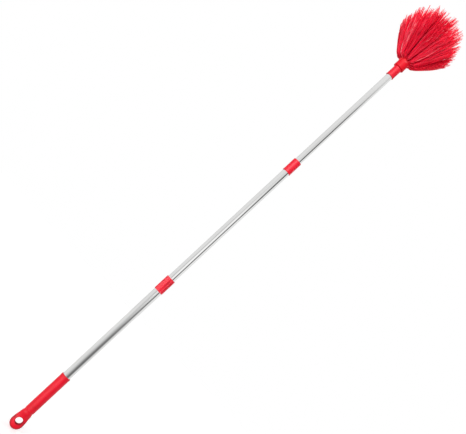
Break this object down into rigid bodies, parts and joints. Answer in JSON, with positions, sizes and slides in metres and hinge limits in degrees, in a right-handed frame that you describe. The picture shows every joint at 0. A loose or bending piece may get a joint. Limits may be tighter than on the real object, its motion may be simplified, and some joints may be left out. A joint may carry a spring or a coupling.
{
  "type": "cobweb brush",
  "caption": "Cobweb brush: a domed tulip of bristle tufts on a round hub, screwed to a three-stage telescopic pole with twist locks and a hand grip with a hanging hole.",
  "frame": {"origin": "centre of the hanging hole in the hand grip's flattened end", "axes": "+Z along the pole from the hand grip to the brush, +Y along the hanging hole"},
  "size_m": [0.1729, 0.1705, 1.4768],
  "materials": {
    "grip_plastic": "soft gloss red moulded plastic",
    "tube_metal": "bright polished steel",
    "collar_plastic": "red moulded plastic",
    "hub_plastic": "red moulded plastic, slightly matt",
    "bristle": "red polypropylene bristle",
    "lock_plastic": "dark grey moulded plastic",
    "cone_plastic": "natural white nylon",
    "anchor_wire": "drawn flat wire"
  },
  "bodies": {
    "handle": {"grip_handle": "grip_plastic", "lower_tube": "tube_metal", "lower_collar": "collar_plastic"},
    "lower_expander": {"lower_lock_expander": "cone_plastic"},
    "lower_cone": {"lower_lock_cone": "lock_plastic"},
    "middle_stage": {"middle_tube": "tube_metal", "lower_lock_core": "lock_plastic", "lower_lock_cap": "lock_plastic", "upper_collar": "collar_plastic"},
    "upper_expander": {"upper_lock_expander": "cone_plastic"},
    "upper_cone": {"upper_lock_cone": "lock_plastic"},
    "upper_stage": {"upper_tube": "tube_metal", "upper_lock_core": "lock_plastic", "upper_lock_cap": "lock_plastic", "head_adapter": "collar_plastic"},
    "brush_head": {"brush_hub": "hub_plastic", "tuft_anchors": "anchor_wire", "bristle_ring_1": "bristle", "bristle_ring_2": "bristle", "bristle_ring_3": "bristle", "bristle_ring_4": "bristle"}
  },
  "joints": [
    {"name": "lower_telescope", "type": "slide", "parent": "handle", "child": "lower_expander", "axis": [0, 0, 1], "range_m": [-0.383, 0.012]},
    {"name": "lower_twist_lock", "type": "hinge", "parent": "lower_expander", "child": "middle_stage", "pos_m": [0, 0, 0.46], "axis": [0, 0, 1], "range_deg": [0, 180]},
    {"name": "lower_cone_travel", "type": "slide", "parent": "lower_expander", "child": "lower_cone", "axis": [0, 0, -1], "range_m": [0, 0.0015]},
    {"name": "upper_telescope", "type": "slide", "parent": "middle_stage", "child": "upper_expander", "axis": [0, 0, 1], "range_m": [-0.319, 0.012]},
    {"name": "upper_twist_lock", "type": "hinge", "parent": "upper_expander", "child": "upper_stage", "pos_m": [0, 0, 0.88], "axis": [0, 0, 1], "range_deg": [0, 180]},
    {"name": "upper_cone_travel", "type": "slide", "parent": "upper_expander", "child": "upper_cone", "axis": [0, 0, -1], "range_m": [0, 0.0015]},
    {"name": "brush_head_lift", "type": "slide", "parent": "upper_stage", "child": "brush_head", "axis": [0, 0, 1], "range_m": [0, 0.03]}
  ],
  "couplings": [
    {"joint": "lower_cone_travel", "follows": "lower_twist_lock", "m_per_rad": 0.000477},
    {"joint": "upper_cone_travel", "follows": "upper_twist_lock", "m_per_rad": 0.000477}
  ]
}
